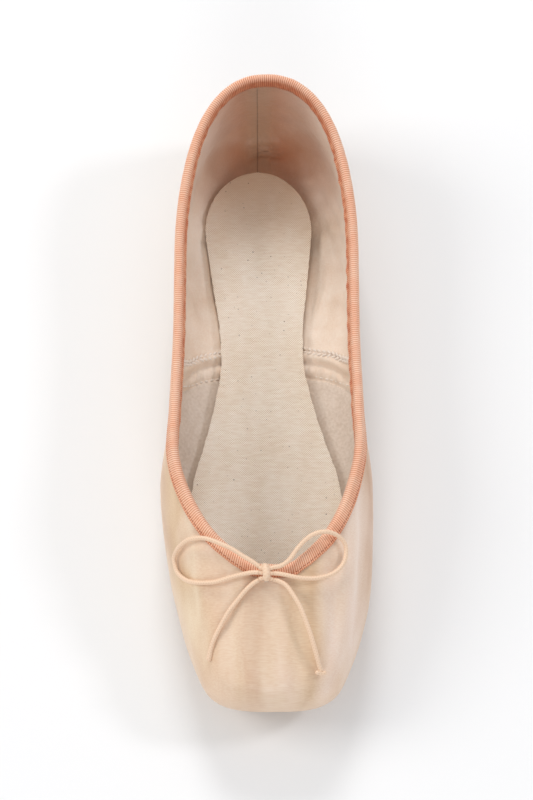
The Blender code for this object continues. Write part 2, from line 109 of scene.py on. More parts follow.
# Bow, as in the CAD: (across, behind, height of the cord's centre over the shoe)
CORD_THICK = 1.6
KNOT_AT = (-0.2, 41.0, 3.45)
LOOP_LEFT = [
    (-2.3, 42.9, 3.2), (-4.9, 44.8, 3.2), (-8.0, 46.7, 3.0), (-11.7, 49.2, 2.9), (-15.3, 51.0, 2.9),
    (-20.2, 53.3, 2.9), (-23.7, 54.2, 3.0), (-27.6, 54.3, 2.9), (-30.6, 53.2, 2.8), (-32.2, 51.5, 2.9),
    (-32.4, 49.6, 2.9), (-31.3, 45.7, 2.3), (-28.7, 42.5, 1.8), (-25.5, 40.5, 1.7), (-21.2, 39.5, 1.6),
    (-17.2, 39.3, 1.7), (-12.9, 40.1, 2.0), (-8.0, 40.9, 2.6), (-4.9, 41.2, 3.0), (-2.3, 41.1, 3.2),
]
LOOP_RIGHT = [
    (2.0, 42.7, 3.2), (5.2, 43.4, 3.3), (8.0, 45.5, 3.4), (10.9, 49.5, 3.6), (14.3, 53.0, 3.9),
    (17.7, 54.8, 4.2), (21.1, 55.2, 4.1), (24.6, 54.6, 3.7), (27.2, 52.7, 3.3), (27.8, 49.8, 3.1),
    (27.0, 46.2, 3.0), (24.6, 42.9, 3.0), (21.0, 40.7, 3.0), (16.8, 39.6, 3.0), (12.8, 39.4, 3.1),
    (9.4, 39.8, 3.1), (6.9, 40.3, 3.1), (3.8, 40.8, 3.1), (2.0, 40.8, 3.2),
]
END_LEFT = [
    (-2.3, 38.9, 2.6), (-4.3, 38.0, 2.4), (-7.0, 35.9, 2.0), (-10.2, 32.5, 1.6), (-13.2, 29.0, 1.4),
    (-16.1, 24.4, 1.4), (-18.7, 19.5, 1.4), (-20.3, 14.0, 1.4),
]
END_RIGHT = [
    (1.9, 38.9, 2.6), (4.2, 38.4, 2.8), (6.8, 36.8, 3.3), (9.2, 33.5, 4.1), (11.8, 29.0, 4.8),
    (14.9, 21.2, 4.9), (17.2, 14.2, 4.2), (18.9, 8.8, 3.2),
]
CORD_SIDES = 14
CORD_STEP, KNOT_STEP = 0.35, 0.25
WRAP_RADIUS, TUCK_RADIUS, CROSSING_RADIUS = 1.3, 0.8, 0.78
TIP_RADIUS = 0.75
# A bare end spreads over its last millimetres
SPREAD_LENGTH = 3.5


# Shape of the last
def smooth_rows(places, values, at):
    """Cubic through the rows that never overshoots them."""
    at = np.asarray(at, float)
    slopes = np.diff(values) / np.diff(places)
    tangents = np.zeros(len(places))
    product = slopes[:-1] * slopes[1:]
    total = np.where(product > 0, slopes[:-1] + slopes[1:], 1.0)
    tangents[1:-1] = np.where(product > 0, 2 * product / total, 0.0)
    tangents[0], tangents[-1] = slopes[0], slopes[-1]
    row = np.clip(np.searchsorted(places, at) - 1, 0, len(places) - 2)
    step = places[row + 1] - places[row]
    u = np.clip((at - places[row]) / step, 0, 1)
    start = (2 * u**3 - 3 * u**2 + 1) * values[row] + (u**3 - 2 * u**2 + u) * step * tangents[row]
    end = (3 * u**2 - 2 * u**3) * values[row + 1] + (u**3 - u**2) * step * tangents[row + 1]
    return start + end


def last_column(column, behind):
    return smooth_rows(LAST[:, BEHIND], LAST[:, column], behind)


def collar_height(behind):
    return smooth_rows(COLLAR[:, 0], COLLAR[:, 1], behind)


def toe_lean(behind):
    return smooth_rows(LEAN[:, 0], LEAN[:, 1], behind)


def round_end(share, power):
    """0 at a rounded end, 1 where the full size is reached."""
    share = np.clip(share, 0, 1)
    return (1 - (1 - share) ** power) ** (1 / power)


def bell(distance, width):
    """1 at distance 0, falling softly to 0 on both sides."""
    return np.exp(-((distance / width) ** 2))


def part_way(value, start, end):
    """0 up to start, 1 from end on, straight between; start may be the larger."""
    return np.clip((value - start) / (end - start), 0, 1)


def unit(vectors):
    return vectors / np.linalg.norm(vectors, axis=-1, keepdims=True)


def farthest(holds, shape):
    """Largest distances at which a test still holds, by bisection."""
    near, far = np.zeros(shape), np.full(shape, LONGEST_RAY)
    for _ in range(BISECTIONS):
        middle = (near + far) / 2
        within = holds(middle)
        near = np.where(within, middle, near)
        far = np.where(within, far, middle)
    return near


def last_half_width(behind, height):
    """Half width of the last at a place and height; -1 beyond its two ends."""
    toe_face = PLATFORM_LEAN * np.clip(LAST[0, WIDEST] - height, 0, None)
    low = np.clip(1 - height / HEEL_FULLEST[0], 0, 1)
    high = part_way(height, HEEL_FULLEST[1], HEEL_TOP)
    heel_face = SHOE_LENGTH - HEEL_TUCK_LOW * low**2 - HEEL_TUCK_TOP * high**HEEL_TUCK_TOP_POWER
    inward = behind - toe_face
    swell = round_end(inward / TOE_ROUND_SIDE, TOE_POWER)
    widest = last_column(WIDEST, behind)
    above = np.clip((height - widest) / ((last_column(TOP, behind) - widest) * swell + 1e-6), 0, 1)
    below = np.clip((widest - height) / ((widest - last_column(BOTTOM, behind)) * swell + 1e-6), 0, 1)
    in_top = height > widest
    power = np.where(in_top, last_column(TOP_POWER, behind), last_column(BOTTOM_POWER, behind))
    section = (1 - np.where(in_top, above, below) ** power) ** (1 / power)
    plan = round_end(inward / TOE_ROUND_PLAN, TOE_POWER)
    plan = plan * round_end((heel_face - behind) / HEEL_ROUND, HEEL_POWER)
    width = last_column(HALF_WIDTH, behind) * plan * section
    return np.where((inward <= 0) | (behind >= heel_face), -1.0, width)


def cast(start, direction):
    """Where rays that start inside the last leave it."""
    def inside(distance):
        points = start + direction * distance[..., None]
        return np.abs(points[..., 0]) < last_half_width(points[..., 1], points[..., 2])

    return start + direction * farthest(inside, direction.shape[:-1])[..., None]


def last_height(across, behind, side=1):
    """Height of the last's top (side 1) or underside (side -1) over a place in plan."""
    across, behind = np.broadcast_arrays(np.asarray(across, float), np.asarray(behind, float))
    start = np.stack([across, behind, last_column(WIDEST, behind)], -1)
    direction = np.zeros(start.shape)
    direction[..., 2] = side
    return cast(start, direction)[..., 2]


def outline_half_width(rows, front, back, ends, behind):
    """Half width of a flat piece whose two ends are rounded."""
    front_round, front_power, back_round, back_power = ends
    width = smooth_rows(rows[:, 0], rows[:, 1], behind)
    width = width * round_end((behind - front) / front_round, front_power)
    return width * round_end((back - behind) / back_round, back_power)


def arc_length(points):
    return np.concatenate([[0], np.cumsum(np.linalg.norm(np.diff(points, axis=0), axis=1))])


def meridian_axes(count):
    """(behind, angle) of each meridian's axis round one half, closer at pleats and seams."""
    quarter = np.linspace(0, math.pi / 2, 160)
    straight = np.linspace(FAN_TOE, FAN_HEEL, 160)[1:-1]
    behind = np.concatenate([0 * quarter + FAN_TOE, straight, 0 * quarter + FAN_HEEL])
    angle = np.concatenate([quarter, 0 * straight + math.pi / 2, quarter + math.pi / 2])
    start = np.stack([0 * behind, behind, 0 * behind + FAN_HEIGHT], -1)
    rim = cast(start, np.stack([np.sin(angle), -np.cos(angle), 0 * angle], -1))
    run = arc_length(rim)
    crowd = 1 + 1.0 * (rim[:, 1] < PLEATS_END) + 1.8 * bell(rim[:, 1] - SEAM_MIDDLE, 9)
    crowd = crowd + 2.0 * bell(run - run[-1], 6)
    cost = np.concatenate([[0], np.cumsum(np.diff(run) * (crowd[1:] + crowd[:-1]) / 2)])
    even = np.linspace(0, cost[-1], count)
    return np.interp(even, cost, behind), np.interp(even, cost, angle)


def feather_reach(behind, angle):
    """Plan distance from each meridian's axis to the edge of the opening underneath."""
    front, back = OUTSOLE_FRONT + FEATHER_INSET, OUTSOLE_BACK - FEATHER_INSET

    def inside(distance):
        place = behind - np.cos(angle) * distance
        half = outline_half_width(OUTSOLE, front, back, OUTSOLE_ENDS, place)
        return np.sin(angle) * distance < half - FEATHER_INSET

    return farthest(inside, behind.shape)


def last_skin(half_columns, rings):
    """Surface of the last from the feather edge up to the collar, all the way round.

    Columns start at the toe and run round by the right side and the heel; the last
    column lies on the first."""
    behind, angle = meridian_axes(half_columns)
    pitch = np.radians(np.linspace(LOWEST_PITCH, HIGHEST_PITCH, PITCHES))
    out = np.stack([np.sin(angle), -np.cos(angle), 0 * angle], -1)
    start = np.stack([0 * behind, behind, 0 * behind + FAN_HEIGHT], -1)
    direction = np.cos(pitch)[:, None] * out[:, None] + np.sin(pitch)[:, None] * np.array([0, 0, 1.0])
    points = cast(start[:, None], direction)
    reach = np.linalg.norm(points[..., :2] - start[:, None, :2], axis=-1)
    edge = feather_reach(behind, angle)
    columns = []
    for line, far, limit in zip(points, reach, edge):
        first = np.argmax(far >= limit)
        over = line[:, 2] - collar_height(line[:, 1])
        last = np.argmax((over >= 0) & (pitch > 0))
        share = over[last - 1] / (over[last - 1] - over[last])
        rim = line[last - 1] + (line[last] - line[last - 1]) * share
        line = np.vstack([line[first:last], rim])
        run = arc_length(line)
        even = np.linspace(0, run[-1], rings)
        columns.append(np.stack([np.interp(even, run, line[:, axis]) for axis in range(3)], -1))
    right = np.array(columns)
    right[0, :, 0] = 0.0
    right[-1, :, 0] = 0.0
    left = right[::-1] * np.array([-1.0, 1.0, 1.0])
    return np.concatenate([right, left[1:]])


def skin_normals(skin):
    """Outward normals of a skin grid whose last column lies on its first."""
    ring = skin[:-1]
    along = np.roll(ring, -1, axis=0) - np.roll(ring, 1, axis=0)
    up = np.gradient(ring, axis=1)
    normal = unit(np.cross(along, up))
    return np.concatenate([normal, normal[:1]])


def curve_between(a, b, c, d, u):
    """Catmull-Rom at a share u of the way from b to c; a and d lie beyond them."""
    bend = (2 * a - 5 * b + 4 * c - d) * u**2 + (3 * b - a - 3 * c + d) * u**3
    return 0.5 * (2 * b + (c - a) * u + bend)


def smooth_route(points, step):
    """Catmull-Rom curve through given points, read at even steps."""
    points = np.asarray(points, float)
    padded = np.vstack([2 * points[0] - points[1], points, 2 * points[-1] - points[-2]])
    u = np.linspace(0, 1, 24, endpoint=False)[:, None]
    spans = zip(padded[:-3], padded[1:-2], padded[2:-1], padded[3:])
    dense = np.vstack([curve_between(*span, u) for span in spans] + [points[-1:]])
    run = arc_length(dense)
    even = np.linspace(0, run[-1], max(4, round(run[-1] / step)))
    return np.stack([np.interp(even, run, dense[:, axis]) for axis in range(3)], -1)


def nearness(points, route, width):
    """1 on a given line, falling softly to 0 beside it."""
    route = np.asarray(route, float)
    best = np.full(points.shape[:-1], np.inf)
    for a, b in zip(route[:-1], route[1:]):
        share = np.clip(((points - a) @ (b - a)) / ((b - a) @ (b - a)), 0, 1)
        best = np.minimum(best, np.linalg.norm(points - a - share[..., None] * (b - a), axis=-1))
    return bell(best, width)


# Mesh helpers
def to_world(points):
    """Millimetres on the straight last to metres about the origin, with the toe's lean."""
    across, behind, height = np.moveaxis(np.asarray(points, float), -1, 0)
    return np.stack([across + toe_lean(behind), behind - SHOE_LENGTH / 2, height], -1) * MM


def lay_grid(name, points):
    """Grid primitive laid on points (rows, columns, 3); seams and poles are merged.

    Faces look along the cross product of the column and the row direction."""
    rows, columns = points.shape[:2]
    bpy.ops.object.select_all(action="DESELECT")
    bpy.ops.mesh.primitive_grid_add(x_subdivisions=columns - 1, y_subdivisions=rows - 1)
    piece = bpy.context.object
    piece.name = name
    piece.data.name = name
    piece.data.vertices.foreach_set("co", to_world(points).ravel())
    piece.data.update()
    bpy.ops.object.mode_set(mode="EDIT")
    bpy.ops.mesh.select_all(action="SELECT")
    bpy.ops.mesh.remove_doubles(threshold=1e-6)
    bpy.ops.object.mode_set(mode="OBJECT")
    piece.data.shade_smooth()
    return piece


def apply_modifier(piece, kind, **settings):
    bpy.context.view_layer.objects.active = piece
    modifier = piece.modifiers.new(kind.title(), kind)
    for key, value in settings.items():
        setattr(modifier, key, value)
    bpy.ops.object.modifier_apply(modifier=modifier.name)


def round_tube(name, centres, radii, sides=CORD_SIDES, above=(0, 0, 1.0)):
    """Tube along centres with a radius at each; it closes where the radius is 0.

    Its UV runs once round the tube and along it in millimetres."""
    ahead = unit(np.gradient(centres, axis=0))
    side = unit(np.cross(ahead, above))
    up = np.cross(side, ahead)
    turn = np.linspace(0, 2 * math.pi, sides + 1)
    ring = np.cos(turn)[:, None, None] * side + np.sin(turn)[:, None, None] * up
    points = centres + ring * np.asarray(radii)[:, None]
    points[-1] = points[0]
    tube = lay_grid(name, points.transpose(1, 0, 2)[:, ::-1])
    layer = tube.data.uv_layers[0].data
    places = np.zeros(len(layer) * 2)
    layer.foreach_get("uv", places)
    places[1::2] *= arc_length(centres)[-1]
    layer.foreach_set("uv", places)
    return tube


def join_pieces(pieces, name):
    bpy.ops.object.select_all(action="DESELECT")
    for piece in pieces:
        piece.select_set(True)
    bpy.context.view_layer.objects.active = pieces[0]
    bpy.ops.object.join()
    pieces[0].name = name
    pieces[0].data.name = name
    return pieces[0]


def finish_piece(piece, slot, material, *nodes):
    """Material, body and the CAD nodes that a piece stands for, which are hidden; slot is not used."""
    piece.data.materials.clear()
    piece.data.materials.append(material)
    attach(piece, "root")
    if nodes:
        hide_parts(*nodes)
    return piece


# Materials
def hex_colour(code):
    channels = [int(code[i:i + 2], 16) / 255 for i in (1, 3, 5)]
    linear = [c / 12.92 if c <= 0.04045 else ((c + 0.055) / 1.055) ** 2.4 for c in channels]
    return (*linear, 1.0)


# What nodes are set to unless they are told otherwise, and which output is read
USUAL = {"Mix": {"data_type": "RGBA"}, "Math": {"operation": "MULTIPLY"}}
USUAL_OUTPUT = {"Mix": 2}


def add_node(tree, kind, inputs, output=None, stops=(), **settings):
    """One output of a new node; inputs maps a socket to a value, a hex colour or an output.

    Math multiplies and Mix mixes the colours 6 and 7, unless settings say otherwise."""
    made = tree.nodes.new("ShaderNode" + kind)
    for key, value in {**USUAL.get(kind, {}), **settings}.items():
        setattr(made, key, value)
    for socket, value in inputs.items():
        if isinstance(value, bpy.types.NodeSocket):
            tree.links.new(value, made.inputs[socket])
        else:
            made.inputs[socket].default_value = hex_colour(value) if isinstance(value, str) else value
    for i, (place, code) in enumerate(stops):
        ramp = made.color_ramp.elements
        stop = ramp[i] if i < 2 else ramp.new(place)
        stop.position = place
        stop.color = hex_colour(code)
    return made.outputs[USUAL_OUTPUT.get(kind, 0) if output is None else output]


def new_material(name, colour, roughness, **shader_values):
    """Principled material, what adds nodes to it, and places on the piece: object (x, y, z), UV."""
    material = bpy.data.materials.new(name)
    material.use_nodes = True
    add = partial(add_node, material.node_tree)
    shader = material.node_tree.nodes["Principled BSDF"]
    shader.inputs["Base Color"].default_value = hex_colour(colour)
    shader.inputs["Roughness"].default_value = roughness
    for key, value in shader_values.items():
        socket = shader.inputs[key.replace("_", " ")]
        socket.default_value = hex_colour(value) if isinstance(value, str) else value
    place = add("TexCoord", {}, "Object")
    return material, add, place, place.node.outputs["UV"]


def set_cloth(material, colour, height, strength, distance):
    """Colour and relief of a material's surface."""
    tree = material.node_tree
    shader = tree.nodes["Principled BSDF"]
    relief = {"Height": height, "Strength": strength, "Distance": distance}
    bump = add_node(tree, "Bump", relief)
    tree.links.new(colour, shader.inputs["Base Color"])
    tree.links.new(bump, shader.inputs["Normal"])


def patches(add, place, size, low=0.3, high=0.7, detail=2.0):
    """Soft patches from 0 to 1; size is theirs in metres, as one number or per axis."""
    sizes = size if isinstance(size, tuple) else (size, size, size)
    turned = add("Mapping", {"Vector": place, "Scale": tuple(1 / s for s in sizes)})
    cloud = add("TexNoise", {"Vector": turned, "Scale": 1.0, "Detail": detail})
    return add("MapRange", {0: cloud, 1: low, 2: high})


def tones(add, colour, share, pattern, dark, light):
    """Colour made darker and lighter by a pattern."""
    tone = add("Mix", {0: pattern, 6: dark, 7: light})
    return add("Mix", {0: share, 6: colour, 7: tone}, blend_type="SOFT_LIGHT")


def crossed_threads(add, place, spacing, length):
    """Short threads lying both ways, 0 in the gaps and 1 on the yarn; sizes in metres."""
    weft = patches(add, place, (length, spacing, spacing), 0.40, 0.72)
    warp = patches(add, place, (spacing, length, spacing), 0.40, 0.72)
    return add("Math", {0: weft, 1: warp}, operation="MAXIMUM")


def plain_weave(add, place, pitch):
    """Threads going over and under each other, 0 to 1, a little uneven; pitch in metres."""
    apart = add("SeparateXYZ", {0: place}).node.outputs
    waves = []
    for axis, grain in (("X", 0.0035), ("Y", 0.0045)):
        uneven = patches(add, place, grain)
        along = add("Math", {0: uneven, 1: 0.4 * pitch, 2: apart[axis]}, operation="MULTIPLY_ADD")
        turn = add("Math", {0: along, 1: 2 * math.pi / pitch})
        waves.append(add("Math", {0: turn}, operation="SINE"))
    crossing = add("Math", {0: waves[0], 1: waves[1]})
    return add("MapRange", {0: crossing, 1: -1.0, 2: 1.0})


def satin_material():
    """Satin with soft lengthwise sheen in bands over the vamp, partly the long floats of its threads and
    partly painted highlights and shade.
    """
    material, add, place, _ = new_material(
        "woven_satin", "#E6C9AC", 0.40, Anisotropic=0.45, Sheen_Weight=0.25, Sheen_Roughness=0.35,
        Sheen_Tint="#FFE9E0", Specular_IOR_Level=0.45)
    across = add("SeparateXYZ", {0: place}, "X")
    behind, height = across.node.outputs["Y"], across.node.outputs["Z"]
    # Bands 6 to 14 mm wide lie side by side over the vamp and wander over some 90 mm
    wander = patches(add, place, (0.012, 0.09, 0.02))
    across = add("Math", {0: wander, 1: 0.0104, 2: across}, operation="MULTIPLY_ADD")
    across = add("MapRange", {0: across, 1: -0.0328, 2: 0.0432})
    # The bands' colours are partly the satin's tone and partly painted highlights and shade, darkest at
    # both sides
    tone_and_sheen_bands = add(
        "ValToRGB", {0: across},
        stops=((0.03, "#C9A787"), (0.10, "#DFC4A4"), (0.16, "#EBD6BB"), (0.24, "#DFC1A4"),
               (0.31, "#E6CAB1"), (0.38, "#E0C4A9"), (0.45, "#D9BAA0"), (0.53, "#E2C8AF"),
               (0.61, "#DFC4A7"), (0.69, "#D5B899"), (0.78, "#E4CAB2"), (0.87, "#EFDACC"),
               (0.96, "#C9A484")))
    # Down the sides and along the quarters the satin is even in colour
    front = add("MapRange", {0: behind, 1: 0.0, 2: -0.035})
    upward = add("MapRange", {0: height, 1: 0.014, 2: 0.029})
    banded = add("Math", {0: front, 1: upward})
    cloth = add("Mix", {0: banded, 6: "#DDC0A4", 7: tone_and_sheen_bands})
    # Streaks 7 mm wide and 50 mm long, and painted highlights: paler pink patches where the floats catch
    # light
    streak = patches(add, place, (0.007, 0.05, 0.03), 0.32, 0.68, 3.0)
    cloth = tones(add, cloth, 0.24, streak, "#85786E", "#F2EEE8")
    painted_glint = patches(add, place, (0.014, 0.03, 0.03), 0.52, 0.95)
    painted_glint = add("Math", {0: painted_glint, 1: banded})
    cloth = add("Mix", {0: painted_glint, 6: cloth, 7: "#F1D8C8"})
    # Weft threads are 0.12 mm apart; drawn at 0.4 mm so that they show
    weft = patches(add, place, (0.004, 0.0004, 0.0004), 0.35, 0.65, 3.0)
    warp = patches(add, place, (0.0006, 0.008, 0.0006), 0.35, 0.65)
    cloth = tones(add, cloth, 0.24, weft, "#938980", "#F2EEEA")
    relief = add("Math", {0: weft, 1: warp}, operation="ADD")
    set_cloth(material, cloth, relief, 0.1, 0.0001)
    return material


def tape_material(ribs, stitch_row):
    """Ribbed tape: pale salmon rib tops, hollows painted darker coral as shade, a dotted stitch line on
    the outer leg.
    """
    material, add, place, unwrapped = new_material(
        "ribbed_rayon_tape", "#F0AC8A", 0.5, Sheen_Weight=0.3, Sheen_Roughness=0.4, Sheen_Tint="#FFD9C4")
    around = add("SeparateXYZ", {0: unwrapped}, "X")
    down = around.node.outputs["Y"]
    turn = add("Math", {0: around, 1: ribs * math.pi})
    swing = add("Math", {0: turn}, operation="SINE")
    crest = add("Math", {0: swing}, operation="ABSOLUTE")
    # From the outer edge over the fold to the gathered inner edge
    # Painted light and shade: lighter over the fold's top, darker at the outer edge and down the inner
    # leg
    colour = add(
        "ValToRGB", {0: down},
        stops=((0.0, "#E3A47F"), (0.10, "#F1BD9D"), (0.22, "#F8CAAC"), (0.31, "#FBD2B7"),
               (0.46, "#F9D0B6"), (0.54, "#F6C2A2"), (0.62, "#F1B592"), (0.72, "#E39E78")))
    patch = patches(add, place, 0.006, 0.35, 0.65, 3.0)
    colour = tones(add, colour, 0.35, patch, "#8F6A58", "#F2E4DC")
    # Painted shade of the puckers on the inner leg, 2 to 3 mm long
    pucker = patches(add, place, (0.0018, 0.0022, 0.003), 0.42, 0.60)
    leg = add("MapRange", {0: down, 1: 0.50, 2: 0.58, 4: 0.85})
    pucker = add("Math", {0: pucker, 1: leg})
    colour = add("Mix", {0: pucker, 6: colour, 7: "#D5805A"})
    # Round the heel the inner half is painted darker, as shade
    back = add("SeparateXYZ", {0: place}, "Y")
    back = add("MapRange", {0: back, 1: 0.085, 2: 0.112})
    inner = add("MapRange", {0: down, 1: 0.36, 2: 0.54, 4: 0.7})
    heel_shade = add("Math", {0: back, 1: inner})
    colour = add("Mix", {0: heel_shade, 6: colour, 7: "#BE7450"})
    # Painted shade in the hollows between the ribs
    rib_hollow_shade = add(
        "Mix", {0: 1.0, 6: colour, 7: "#D49674"}, blend_type="MULTIPLY")
    colour = add("Mix", {0: crest, 6: rib_hollow_shade, 7: colour})
    # Stitches 1.6 mm apart
    sewn = add("Math", {0: down, 1: stitch_row, 2: 0.024}, operation="COMPARE")
    dash = add("MapRange", {0: swing, 1: -0.1, 2: 0.4, 4: 0.75})
    stitch = add("Math", {0: sewn, 1: dash})
    colour = add("Mix", {0: stitch, 6: colour, 7: "#A65F41"})
    # Yarn twist is about 0.3 mm
    set_cloth(material, colour, patches(add, place, 0.0003), 0.16, 0.00015)
    return material


def canvas_material():
    """Unbleached cotton canvas over board, with seed flecks: dry, matt, visibly woven."""
    material, add, place, _ = new_material("unbleached_canvas", "#E2D2C0", 0.88, Sheen_Weight=0.2)
    # Threads are 0.45 mm apart; drawn at 0.8 mm so that they show
    weave = plain_weave(add, place, 0.0008)
    cloth = add("Mix", {0: weave, 6: "#D0BFAC", 7: "#FFF8EE"})
    slub = patches(add, place, (0.0035, 0.0007, 0.001), 0.3, 0.7)
    cloth = tones(add, cloth, 0.40, slub, "#8E7E6C", "#FAF3E8")
    drift = patches(add, place, (0.012, 0.03, 0.012), 0.35, 0.65, 3.0)
    cloth = tones(add, cloth, 0.30, drift, "#A48762", "#F0E8DE")
    # The heel is painted darker and warmer, as shade from the heel's walls
    back = add("SeparateXYZ", {0: place}, "Y")
    back = add("MapRange", {0: back, 1: 0.060, 2: 0.092, 4: 0.65})
    cloth = add("Mix", {0: back, 6: cloth, 7: "#BF9A79"})
    # Cotton-seed flecks, 0.1 to 0.5 mm
    seed = add("TexVoronoi", {"Vector": place, "Scale": 600.0}, "Distance")
    chance = add("SeparateColor", {0: seed.node.outputs["Color"]}).node.outputs
    size = add("MapRange", {0: chance[1], 3: 0.04, 4: 0.15})
    small = add("Math", {0: seed, 1: size}, operation="LESS_THAN")
    rare = add("MapRange", {0: chance[0], 1: 0.3, 2: 1.0, 4: 0.85})
    fleck = add("Math", {0: rare, 1: small})
    cloth = add("Mix", {0: fleck, 6: cloth, 7: "#6B5240"})
    set_cloth(material, cloth, weave, 0.45, 0.00016)
    return material


def lining_material():
    """Cotton sateen lining: smooth, slightly pearly, with painted pink-brown shade in the heel."""
    material, add, place, _ = new_material("cotton_sateen", "#DCC5AC", 0.5, Sheen_Weight=0.35)
    drift = patches(add, place, 0.026, 0.3, 0.7, 3.0)
    cloth = add("Mix", {0: drift, 6: "#DCC6B1", 7: "#F4E6D9"})
    weave = crossed_threads(add, place, 0.0005, 0.0015)
    cloth = tones(add, cloth, 0.3, weave, "#A98D76", "#F6ECE0")
    # Lighter crumple marks, as on a cloth that has been wetted with paste
    crumple = patches(add, place, (0.009, 0.014, 0.009), 0.50, 0.85, 4.0)
    cloth = add("Mix", {0: crumple, 6: cloth, 7: "#F6EADC"})
    # Painted shade: pink-brown beside the back seam's panel, deepest in the corners by the insole
    across = add("SeparateXYZ", {0: place}, "X")
    behind, height = across.node.outputs["Y"], across.node.outputs["Z"]
    back = add("MapRange", {0: behind, 1: 0.076, 2: 0.106})
    off_panel = add("Math", {0: across, 1: sum(HEEL_PANEL) / 2 * MM}, operation="SUBTRACT")
    off_panel = add("Math", {0: off_panel}, operation="ABSOLUTE")
    beside = add("MapRange", {0: off_panel, 1: 0.030, 2: 0.006, 4: 0.75})
    low = add("MapRange", {0: height, 1: 0.032, 2: 0.006, 4: 0.9})
    heel_shade = add("Math", {0: beside, 1: low}, operation="MAXIMUM")
    heel_shade = add("Math", {0: heel_shade, 1: back})
    cloth = add("Mix", {0: heel_shade, 6: cloth, 7: "#B57147"})
    cloth = tones(add, cloth, 0.15, patches(add, place, 0.010, 0.35, 0.65, 3.0), "#98806E", "#F0E4D8")
    on_panel = add("MapRange", {0: off_panel, 1: 0.0080, 2: 0.0020, 4: 0.45})
    on_panel = add("Math", {0: on_panel, 1: back})
    cloth = add("Mix", {0: on_panel, 6: cloth, 7: "#AA967C"})
    off_seam = add("Math", {0: across, 1: HEEL_SEAM * MM}, operation="SUBTRACT")
    off_seam = add("Math", {0: off_seam}, operation="ABSOLUTE")
    on_seam = add("MapRange", {0: off_seam, 1: 0.00032, 2: 0.0001, 4: 0.6})
    below_tape = add("MapRange", {0: height, 1: 0.0485, 2: 0.0455})
    for share in (below_tape, back):
        on_seam = add("Math", {0: on_seam, 1: share})
    cloth = add("Mix", {0: on_seam, 6: cloth, 7: "#6F5845"})
    # Fine wrinkles 5 to 9 mm apart, five times as deep as the weave
    wrinkle = patches(add, place, (0.006, 0.009, 0.005), 0.3, 0.7, 3.0)
    relief = add("Math", {0: wrinkle, 1: 5.0, 2: weave}, operation="MULTIPLY_ADD")
    set_cloth(material, cloth, relief, 0.4, 0.0001)
    return material


def felt_material():
    """Brushed cotton over the stiffened wings: greyer than the lining, napped, no gloss."""
    material, add, place, _ = new_material("brushed_cotton", "#CBBBAA", 0.92, Sheen_Weight=0.5)
    nap = patches(add, place, 0.0011, 0.3, 0.7, 4.0)
    colour = add("Mix", {0: nap, 6: "#D3C4B5", 7: "#E2D5C9"})
    colour = tones(add, colour, 0.3, patches(add, place, 0.010, 0.3, 0.7, 3.0), "#A0907F", "#EADFD4")
    set_cloth(material, colour, nap, 0.2, 0.0002)
    return material


def leather_material():
    """Split leather sole, buffed: fine nap, slightly clouded."""
    material, add, place, _ = new_material("buffed_split_leather", "#C49F79", 0.78, Sheen_Weight=0.25)
    cloud = patches(add, place, 0.018, 0.3, 0.7, 4.0)
    colour = add("Mix", {0: cloud, 6: "#B48C66", 7: "#D2B28C"})
    grain = patches(add, place, 0.0007, 0.0, 1.0, 4.0)
    colour = tones(add, colour, 0.35, grain, "#8E6A4A", "#E6CDAE")
    set_cloth(material, colour, grain, 0.5, 0.0002)
    return material


def thread_material():
    """Waxed cotton sewing thread: pale, slightly glossy."""
    return new_material("waxed_cotton_thread", "#F2E6DA", 0.55, Sheen_Weight=0.3)[0]


def cord_material():
    """Braided cotton cord over elastic: smooth and satiny with a fine braid."""
    material, add, _, unwrapped = new_material(
        "braided_cotton_cord", "#F3D7BC", 0.48, Sheen_Weight=0.35, Sheen_Roughness=0.35)
    # Strands cross every 0.5 mm along the cord and six times round it
    around = add("SeparateXYZ", {0: unwrapped}, "X")
    along = add("Math", {0: around.node.outputs["Y"], 1: 2 * math.pi})
    strands = []
    for turns in (6 * math.pi, -6 * math.pi):
        lay = add("Math", {0: around, 1: turns, 2: along}, operation="MULTIPLY_ADD")
        strands.append(add("Math", {0: lay}, operation="SINE"))
    braid = add("Math", {0: strands[0], 1: strands[1]}, operation="MAXIMUM")
    braid = add("MapRange", {0: braid, 1: -0.6, 2: 1.0})
    colour = add("Mix", {0: braid, 6: "#E8C5A6", 7: "#F0D2B6"})
    set_cloth(material, colour, braid, 0.08, 0.00006)
    return material


SATIN = satin_material()
CANVAS = canvas_material()
LINING = lining_material()
FELT = felt_material()
LEATHER = leather_material()
CORD = cord_material()
THREAD = thread_material()


# Camera
def set_camera():
    back = Vector((0.0, -math.cos(SHOT_ELEVATION), math.sin(SHOT_ELEVATION)))
    place = SHOT_TARGET + back * SHOT_DISTANCE
    bpy.ops.object.camera_add(location=place, rotation=(-back).to_track_quat("-Z", "Y").to_euler())
    camera = bpy.context.object
    camera.name = "shot"
    camera.data.lens = SHOT_LENS
    camera.data.sensor_width = SHOT_SENSOR
    bpy.context.scene.camera = camera


set_camera()


# Drawstring bow
def over_shoe(across, behind, lift):
    """Place on the straight last, over the vamp or over the collar where the shoe is open."""
    across = across - float(toe_lean(behind))
    height = min(float(last_height(across, behind)), float(collar_height(behind)))
    return across, behind, height + lift


def cord_route(route, step=CORD_STEP):
    return smooth_route([over_shoe(*place) for place in route], step)


def end_radii(run, radius, blunt=0.35):
    """Full radius along the cord, rounded over at both ends."""
    from_end = np.minimum(run, run[-1] - run) / (blunt * radius * 2)
    return radius * round_end(from_end, 2.0)


